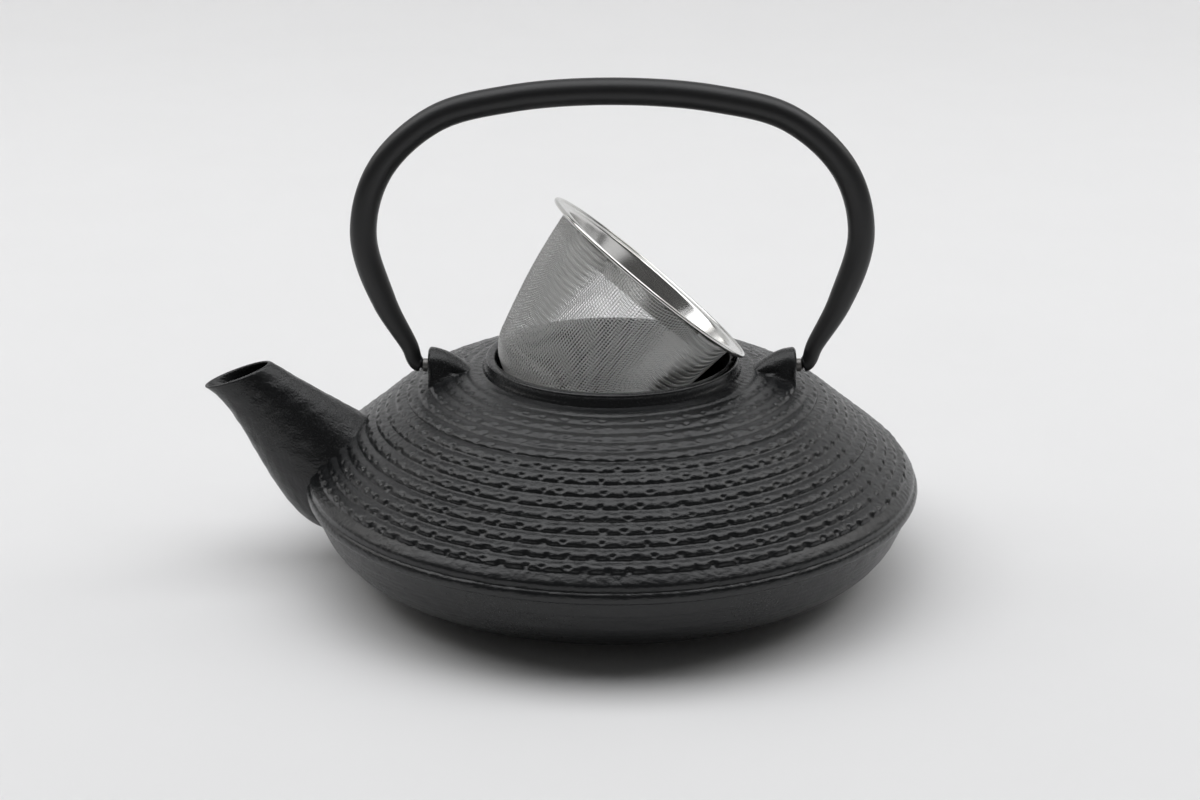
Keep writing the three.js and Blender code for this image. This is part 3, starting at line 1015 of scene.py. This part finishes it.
def woven(name, place, facing):
    """One set of wires as thin rods along the first axis of a grid of crossings."""
    points, faces, start = [], [], 0
    for wire, normal in zip(np.swapaxes(place, 0, 1), np.swapaxes(facing, 0, 1)):
        there = np.nonzero(~np.isnan(wire[:, 0]))[0]
        for run in np.split(there, np.nonzero(np.diff(there) > 1)[0] + 1):
            if len(run) < 3:
                continue
            p, n = wire[run], normal[run]
            way = np.gradient(p, axis=0)
            way /= np.linalg.norm(way, axis=1)[:, None]
            across = np.cross(way, n)
            across /= np.linalg.norm(across, axis=1)[:, None]
            lift = np.cross(across, way)
            ring = wire_radius * (
                np.cos(wire_round)[None, :, None] * across[:, None, :]
                + np.sin(wire_round)[None, :, None] * lift[:, None, :]
            )
            points.append((p[:, None, :] + ring).reshape(-1, 3))
            index = start + np.arange(len(wire_round) * len(run)).reshape(len(run), -1)
            a, b = index[:-1], index[1:]
            sides = np.stack([a, np.roll(a, -1, 1), np.roll(b, -1, 1), b], -1).reshape(-1, 4)
            faces += sides.tolist() + [index[0][::-1].tolist(), index[-1].tolist()]
            start += index.size
    mesh = bpy.data.meshes.new(name)
    mesh.from_pydata((np.vstack(points) * MM).tolist(), [], faces)
    mesh.transform(leaning)
    mesh.shade_smooth()
    piece = bpy.data.objects.new(name, mesh)
    bpy.context.scene.collection.objects.link(piece)
    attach(piece, "infuser")
    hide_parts("infuser_mesh")
    return piece


warp = woven("cup_mesh_warp", crossing + outward * over * weave_lift, outward)
weft_place = np.swapaxes(crossing - outward * over * weave_lift, 0, 1)
weft = woven("cup_mesh_weft", weft_place, np.swapaxes(outward, 0, 1))
stained_wire = (0.74, 0.74, 0.73, 1)
clean_wire = (0.86, 0.86, 0.85, 1)
drawn_wire = Finish("drawn_stainless_wire")
stain = drawn_wire.grain(12, 3, 0.55)
drawn_wire.coat(
    [warp, weft],
    {
        "Base Color": drawn_wire.mix(stain, stained_wire, clean_wire),
        "Metallic": 1.0,
        "Roughness": 0.27 + stain * 0.14,
    },
)

# ---------------------------------------------------------------------------------------------
# Studio: a white paper sweep under and behind the pot, one broad soft light overhead and a weak
# one at each side, in a dim room.
sweep_half_width = 3500
sweep_front = -3500
sweep_bend = 900
sweep_radius = 350
sweep_height = 1600
bend_steps = 25
grey_fibre = (0.76, 0.76, 0.76, 1)
white_fibre = (0.78, 0.78, 0.78, 1)
bend = np.radians(np.linspace(0, 90, bend_steps))
sweep_line = [(sweep_front, 0)]
sweep_line += [
    (sweep_bend + sweep_radius * math.sin(a), sweep_radius * (1 - math.cos(a))) for a in bend
]
sweep_line += [(sweep_bend + sweep_radius, sweep_height)]
paper_points = [(x, y, z) for y, z in sweep_line for x in (-sweep_half_width, sweep_half_width)]
paper_faces = [(2 * i, 2 * i + 1, 2 * i + 3, 2 * i + 2) for i in range(len(sweep_line) - 1)]
sweep_mesh = bpy.data.meshes.new("paper_sweep")
sweep_mesh.from_pydata((np.array(paper_points) * MM).tolist(), [], paper_faces)
sweep_mesh.shade_smooth()
sweep = bpy.data.objects.new("paper_sweep", sweep_mesh)
bpy.context.scene.collection.objects.link(sweep)
paper = Finish("white_paper")
fibre = paper.grain(60, 3, 0.5)
paper.coat(
    [sweep],
    {
        "Base Color": paper.mix(fibre, grey_fibre, white_fibre),
        "Roughness": 0.9,
    },
)


def soft_light(name, place, aim, size, power, colour):
    light = bpy.data.lights.new(name, "AREA")
    light.shape = "RECTANGLE"
    light.size, light.size_y = size
    light.energy = power
    light.color = colour
    lamp = bpy.data.objects.new(name, light)
    lamp.location = place
    lamp.rotation_euler = (Vector(aim) - Vector(place)).to_track_quat("-Z", "Y").to_euler()
    bpy.context.scene.collection.objects.link(lamp)


soft_light(
    "overhead",
    place=(0, 0.06, 1.7),
    aim=(0, 0, 0),
    size=(3.8, 1.5),
    power=40.5,
    colour=(0.98, 0.985, 1),
)
for name, side in (("left_fill", -1), ("right_fill", 1)):
    soft_light(
        name,
        place=(side * 1.5, 0.5, 1.1),
        aim=(0, 0, 0.03),
        size=(1, 1),
        power=4.5,
        colour=(1, 0.985, 0.96),
    )
# The room is dim where it lights the pot and pale where it shows past the edge of the paper.
room_light = (0.09, 0.089, 0.088, 1)
room_seen = (0.74, 0.75, 0.76, 1)
world = bpy.data.worlds.new("room")
world.use_nodes = True
seen = world.node_tree.nodes.new("ShaderNodeLightPath")
shade = world.node_tree.nodes.new("ShaderNodeMix")
shade.data_type = "RGBA"
shade.inputs[6].default_value = room_light
shade.inputs[7].default_value = room_seen
world.node_tree.links.new(seen.outputs["Is Camera Ray"], shade.inputs[0])
world.node_tree.links.new(shade.outputs[2], world.node_tree.nodes["Background"].inputs["Color"])
bpy.context.scene.world = world
bpy.context.scene.view_settings.view_transform = "Standard"

eye_place = (-0.003646, -0.632558, 0.272945)
eye_dip = 19.3
camera = bpy.data.cameras.new("camera")
camera.sensor_width = 36
camera.lens = 66
camera.clip_end = 20
eye = bpy.data.objects.new("camera", camera)
eye.location = eye_place
eye.rotation_euler = (math.radians(90 - eye_dip), 0, 0)
bpy.context.scene.collection.objects.link(eye)
bpy.context.scene.camera = eye
